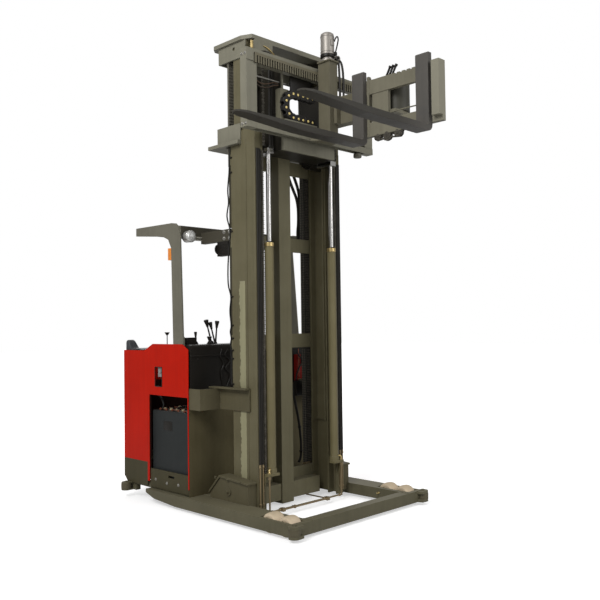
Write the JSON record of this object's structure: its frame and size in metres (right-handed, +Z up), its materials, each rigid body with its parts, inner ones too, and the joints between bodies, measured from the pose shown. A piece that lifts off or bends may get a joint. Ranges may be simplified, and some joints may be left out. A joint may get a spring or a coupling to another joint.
{
  "type": "three-way turret stacker truck",
  "caption": "Battery stacker truck with a part-raised two-stage mast and a swivelling side-shifting fork head for narrow aisles.",
  "frame": {"origin": "on the floor, on the truck's centreline, under the front plane of the fixed mast", "axes": "+Z up, -Y the truck's front, +X the truck's left"},
  "size_m": [2.037, 2.917, 3.877],
  "materials": {
    "olive_paint": "satin, worn at the edges",
    "red_paint": "gloss",
    "black_plastic": "fine grain",
    "battery_case": "satin",
    "grey_pad": "soft grain",
    "mat_rubber": "ribbed",
    "lamp_silver": "satin",
    "amber_lens": "clear lens",
    "brass_fitting": "dull",
    "hose_rubber": "smooth",
    "oiled_chain": "oiled",
    "tread": "cast polyurethane, scuffed",
    "black_tyre": "smooth solid tread",
    "bright_steel": "polished",
    "fork_steel": "worn satin"
  },
  "bodies": {
    "truck": {"base_frame": "olive_paint", "body_panels": "red_paint", "skirt": "olive_paint", "front_wall": "olive_paint", "console": "black_plastic", "levers": "black_plastic", "cover": "black_plastic", "battery": "battery_case", "battery_retainer": "olive_paint", "back_pad": "grey_pad", "foot_mat": "mat_rubber", "overhead_guard": "olive_paint", "work_lamps": "lamp_silver", "marker_lamp": "amber_lens", "fixed_rails": "olive_paint", "fixed_crosshead": "olive_paint", "centre_column": "olive_paint", "mast_stays": "olive_paint", "lift_tubes": "olive_paint", "glands": "brass_fitting", "pipes": "brass_fitting", "mast_cable": "hose_rubber", "front_chains": "oiled_chain"},
    "load_fr": {"load_wheel_fr": "tread"},
    "load_rr": {"load_wheel_rr": "tread"},
    "load_fl": {"load_wheel_fl": "tread"},
    "load_rl": {"load_wheel_rl": "tread"},
    "guide_fr": {"guide_roller_fr": "tread"},
    "guide_fl": {"guide_roller_fl": "tread"},
    "guide_rr": {"guide_roller_rr": "tread"},
    "guide_rl": {"guide_roller_rl": "tread"},
    "drive": {"drive_unit": "olive_paint"},
    "drive_roll": {"drive_wheel": "black_tyre"},
    "castor": {"castor_fork": "olive_paint"},
    "castor_roll": {"castor_wheel": "tread"},
    "inner_mast": {"sliding_rails": "olive_paint", "sliding_crosshead": "olive_paint", "lift_chains": "hose_rubber", "lift_rods": "bright_steel"},
    "carriage": {"traverse_frame": "olive_paint", "rack": "olive_paint", "drag_chain": "black_plastic"},
    "turret": {"turret_arm": "olive_paint", "traverse_motor": "lamp_silver"},
    "fork_head": {"fork_carriage": "olive_paint", "forks": "fork_steel"}
  },
  "joints": [
    {"name": "load_wheel_fr_spin", "type": "hinge", "parent": "truck", "child": "load_fr", "pos_m": [-0.67, -0.525, 0.075], "axis": [1, 0, 0], "continuous": true},
    {"name": "load_wheel_rr_spin", "type": "hinge", "parent": "truck", "child": "load_rr", "pos_m": [-0.67, -0.36, 0.075], "axis": [1, 0, 0], "continuous": true},
    {"name": "load_wheel_fl_spin", "type": "hinge", "parent": "truck", "child": "load_fl", "pos_m": [0.67, -0.525, 0.075], "axis": [1, 0, 0], "continuous": true},
    {"name": "load_wheel_rl_spin", "type": "hinge", "parent": "truck", "child": "load_rl", "pos_m": [0.67, -0.36, 0.075], "axis": [1, 0, 0], "continuous": true},
    {"name": "guide_roller_fr_spin", "type": "hinge", "parent": "truck", "child": "guide_fr", "pos_m": [-0.75, -0.651, 0.07], "axis": [0, 0, 1], "continuous": true},
    {"name": "guide_roller_fl_spin", "type": "hinge", "parent": "truck", "child": "guide_fl", "pos_m": [0.75, -0.651, 0.07], "axis": [0, 0, 1], "continuous": true},
    {"name": "guide_roller_rr_spin", "type": "hinge", "parent": "truck", "child": "guide_rr", "pos_m": [-0.75, 1.459, 0.095], "axis": [0, 0, 1], "continuous": true},
    {"name": "guide_roller_rl_spin", "type": "hinge", "parent": "truck", "child": "guide_rl", "pos_m": [0.75, 1.459, 0.095], "axis": [0, 0, 1], "continuous": true},
    {"name": "drive_steer", "type": "hinge", "parent": "truck", "child": "drive", "pos_m": [-0.33, 1.32, 0.165], "axis": [0, 0, 1], "range_deg": [-90, 90]},
    {"name": "drive_wheel_spin", "type": "hinge", "parent": "drive", "child": "drive_roll", "pos_m": [-0.33, 1.32, 0.165], "axis": [1, 0, 0], "continuous": true},
    {"name": "castor_swivel", "type": "hinge", "parent": "truck", "child": "castor", "pos_m": [0.48, 1.354, 0.08], "axis": [0, 0, 1], "continuous": true},
    {"name": "castor_wheel_spin", "type": "hinge", "parent": "castor", "child": "castor_roll", "pos_m": [0.48, 1.394, 0.08], "axis": [1, 0, 0], "continuous": true},
    {"name": "mast_lift", "type": "slide", "parent": "truck", "child": "inner_mast", "axis": [0, 0, 1], "range_m": [-0.5, 0.78]},
    {"name": "carriage_lift", "type": "slide", "parent": "inner_mast", "child": "carriage", "axis": [0, 0, 1], "range_m": [-2.16, 0.05]},
    {"name": "turret_traverse", "type": "slide", "parent": "carriage", "child": "turret", "axis": [1, 0, 0], "range_m": [-0.72, 0.56]},
    {"name": "fork_rotate", "type": "hinge", "parent": "turret", "child": "fork_head", "pos_m": [0.215, -0.87, 3.2], "axis": [0, 0, 1], "range_deg": [0, 180]}
  ]
}
